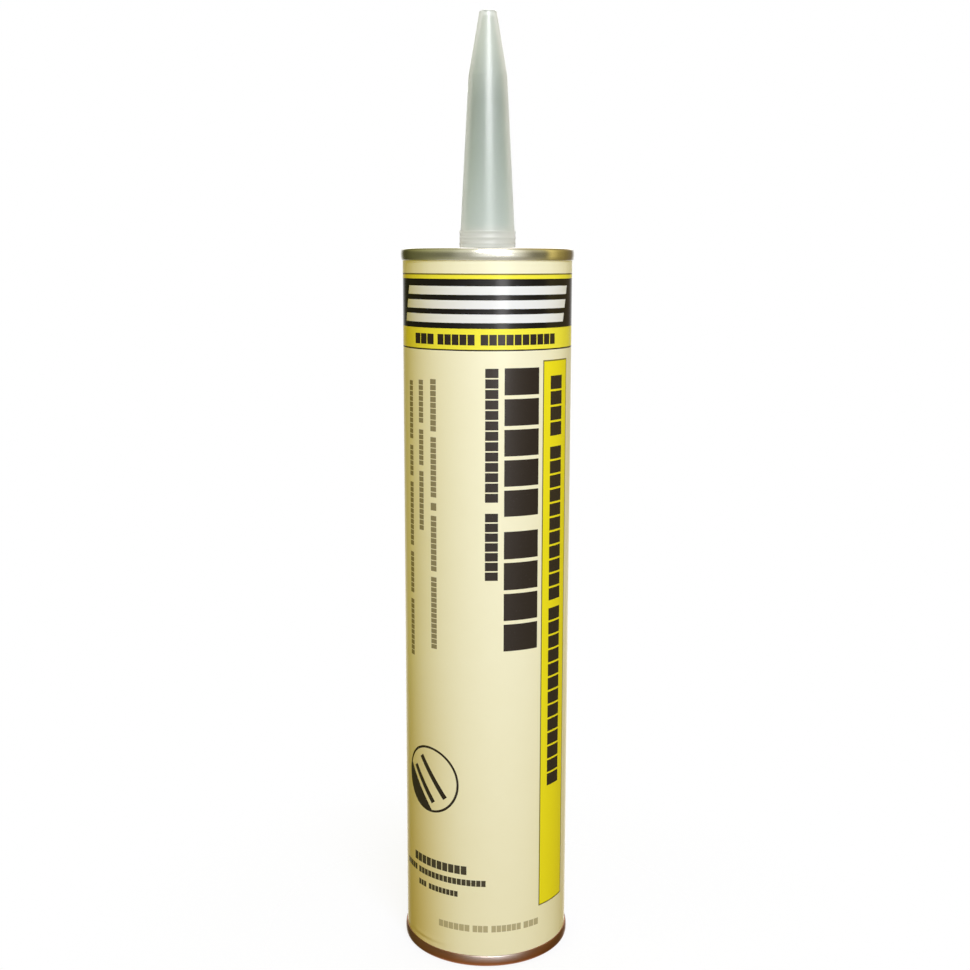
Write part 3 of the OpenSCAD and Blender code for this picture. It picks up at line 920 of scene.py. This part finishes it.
# Tones of the card and of the two windows painted on it, by the angle to the right in degrees
CARD_TONES = [
    (-168, (1.0, 1.0, 1.0)),
    (-148, (0.10, 0.098, 0.04)),
    (-138, (0.06, 0.058, 0.02)),
    (-117, (0.12, 0.118, 0.043)),
    (-84, (0.18, 0.18, 0.09)),
    (-50, (0.22, 0.22, 0.145)),
    (-35, (0.29, 0.29, 0.23)),
    (20, (0.33, 0.33, 0.31)),
    (52, (0.23, 0.22, 0.165)),
    (77, (0.22, 0.20, 0.115)),
    (92, (0.17, 0.145, 0.055)),
    (127, (0.10, 0.08, 0.03)),
    (148, (0.20, 0.16, 0.10)),
    (168, (1.0, 1.0, 1.0)),
]
WINDOW_TONES = [
    (-50, (0.0, 0.0, 0.0)),
    (-35, (0.16, 0.16, 0.13)),
    (-24, (0.25, 0.25, 0.23)),
    (-13, (0.66, 0.67, 0.66)),
    (-3, (0.92, 0.93, 0.94)),
    (8, (1.0, 1.0, 1.0)),
    (30, (0.95, 0.95, 0.93)),
    (41, (0.60, 0.59, 0.52)),
    (53, (0.20, 0.19, 0.14)),
    (63, (0.0, 0.0, 0.0)),
    (82, (0.0, 0.0, 0.0)),
    (92, (0.62, 0.50, 0.16)),
    (107, (0.26, 0.20, 0.05)),
    (129, (0.12, 0.09, 0.03)),
    (146, (0.0, 0.0, 0.0)),
]
# Levels of both up the card, as height in metres and brightness
CARD_LEVELS = [
    (-0.30, 1.8), (-0.12, 1.2), (-0.03, 1.0), (0.21, 1.0),
    (0.33, 1.0), (0.45, 1.7), (0.60, 2.4), (1.6, 2.5),
]
WINDOW_LEVELS = [(-0.27, 0.0), (-0.12, 0.62), (0.0, 1.0), (0.55, 1.0), (1.2, 0.5), (4.0, 0.3)]
LEVEL_TOP = 2.5
material, tree, place = start_stage("painted_card")
about = put(tree, "Group", {"Place": place}, node_tree=round_axis).outputs
share = calc(tree, "MULTIPLY_ADD", about["Angle"], 0.5 / math.pi, 0.5)


def round_card(tones):
    """A colour that runs through tones round the card."""
    return toned(tree, share, [(angle / 360 + 0.5, tone) for angle, tone in tones])


def up_card(levels):
    """A brightness that runs through levels up the card."""
    ends = {"Value": about["Height"], "From Min": CARD_FOOT, "From Max": CARD_TOP}
    risen = put(tree, "MapRange", ends).outputs[0]
    stops = [((z - CARD_FOOT) / (CARD_TOP - CARD_FOOT), [level / LEVEL_TOP] * 3) for z, level in levels]
    return calc(tree, "MULTIPLY", toned(tree, risen, stops), LEVEL_TOP)


def lit_by(colour, brightness):
    """A colour times a brightness."""
    return put(tree, "VectorMath", {0: colour, "Scale": brightness}, operation="SCALE").outputs[0]


# A tall bright strip stands in the middle window, and is wider and further left above the rim's level
STRIP_LOW = math.radians(20)
STRIP_HIGH = math.radians(7)
STRIP_CORE = math.radians(3)
STRIP_EDGE = math.radians(12)
STRIP_LEAN_FOOT = 0.24
STRIP_LEAN_TOP = 0.42
STRIP_GLOW = 11
STRIP_LEVELS = [
    (0.08, 0.0), (0.15, 0.75), (0.20, 0.6), (0.30, 0.2),
    (0.44, 0.0), (0.60, 1.15), (0.80, 0.8), (1.6, 0.25),
]
leans = {"Value": about["Height"], "From Min": STRIP_LEAN_FOOT, "From Max": STRIP_LEAN_TOP}
risen = put(tree, "MapRange", leans).outputs[0]
middle = calc(tree, "MULTIPLY_ADD", risen, STRIP_HIGH - STRIP_LOW, STRIP_LOW)
aside = calc(tree, "ABSOLUTE", calc(tree, "SUBTRACT", about["Angle"], middle))
aside = calc(tree, "DIVIDE", aside, calc(tree, "ADD", risen, 1))
sides = {"Value": aside, "From Min": STRIP_EDGE, "From Max": STRIP_CORE, "To Max": STRIP_GLOW}
strip = put(tree, "MapRange", sides, interpolation_type="SMOOTHSTEP").outputs[0]
card_tone = lit_by(round_card(CARD_TONES), up_card(CARD_LEVELS))
for layer in (
    lit_by(round_card(WINDOW_TONES), up_card(WINDOW_LEVELS)),
    lit_by((1, 1, 1), calc(tree, "MULTIPLY", strip, up_card(STRIP_LEVELS))),
):
    card_tone = put(tree, "VectorMath", {0: card_tone, 1: layer}, operation="ADD").outputs[0]
card_glow = put(tree, "Emission", {"Color": card_tone}).outputs[0]
put(tree, "OutputMaterial", {"Surface": card_glow})
card.data.materials.append(material)

# Lamps, each as name, angle to the right in degrees, distance, height, width, length, watts and colour
COOL = (0.59, 0.67, 1.0)
WARM = (1.0, 0.90, 0.08)
LAMPS = [
    ("key", 13, 0.8, 0.75, 0.45, 0.8, 13.9, COOL),
    ("left_fill", -60, 0.32, 0.46, 0.15, 0.15, 0.13, WARM),
    ("right_fill", 74, 0.32, 0.46, 0.15, 0.15, 0.09, WARM),
    ("back", 180, 1.2, 0.5, 1.8, 1.0, 15.0, (0.66, 0.76, 1.0)),
    ("under", 0, 0.01, -0.6, 0.05, 0.05, 2.6, (0.72, 0.80, 1.0)),
]
LAMP_AIM = Vector((0, 0, 0.15))
for name, angle, distance, height, width, tall, power, colour in LAMPS:
    lamp = bpy.data.lights.new(name, "AREA")
    lamp.shape = "RECTANGLE"
    lamp.size = width
    lamp.size_y = tall
    lamp.energy = power
    lamp.color = colour
    light = bpy.data.objects.new(name, lamp)
    scene.collection.objects.link(light)
    turned = math.radians(angle)
    light.location = (distance * math.sin(turned), -distance * math.cos(turned), height)
    light.rotation_euler = (LAMP_AIM - light.location).to_track_quat("-Z", "Y").to_euler()
    light.visible_camera = False
    light.visible_glossy = False
    light.visible_transmission = False

# Warm light from all round, while the camera and reflections see plain white
AMBIENT = (0.385, 0.30, 0.02, 1)
world = bpy.data.worlds.new("studio")
scene.world = world
world.use_nodes = True
tree = world.node_tree
tree.nodes.clear()
path = put(tree, "LightPath").outputs
seen = calc(tree, "MAXIMUM", path["Is Camera Ray"], path["Is Glossy Ray"])
seen = calc(tree, "MAXIMUM", seen, path["Is Transmission Ray"])
ambient = put(tree, "Background", {"Color": AMBIENT}).outputs[0]
white = put(tree, "Background", {"Color": (1, 1, 1, 1)}).outputs[0]
around_set = put(tree, "MixShader", {0: seen, 1: ambient, 2: white}).outputs[0]
put(tree, "OutputWorld", {"Surface": around_set})

# Camera
# A normal lens on a camera that stands level with the top rim, close in front of the cartridge.
# It looks a little down and is turned by a trace, as fitted to the photograph's outline.
LENS = 49.86
SENSOR = 36
CAMERA_PLACE = (-0.6 * MM, -402.2 * MM, 211.1 * MM)
CAMERA_DOWN = 9.52
CAMERA_LEAN = 0.11
lens = bpy.data.cameras.new("camera")
lens.lens = LENS
lens.sensor_width = SENSOR
camera = bpy.data.objects.new("camera", lens)
scene.collection.objects.link(camera)
camera.location = CAMERA_PLACE
tilt = Matrix.Rotation(math.radians(90 - CAMERA_DOWN), 3, "X")
lean = Matrix.Rotation(math.radians(CAMERA_LEAN), 3, "Z")
camera.rotation_euler = (tilt @ lean).to_euler()
scene.camera = camera
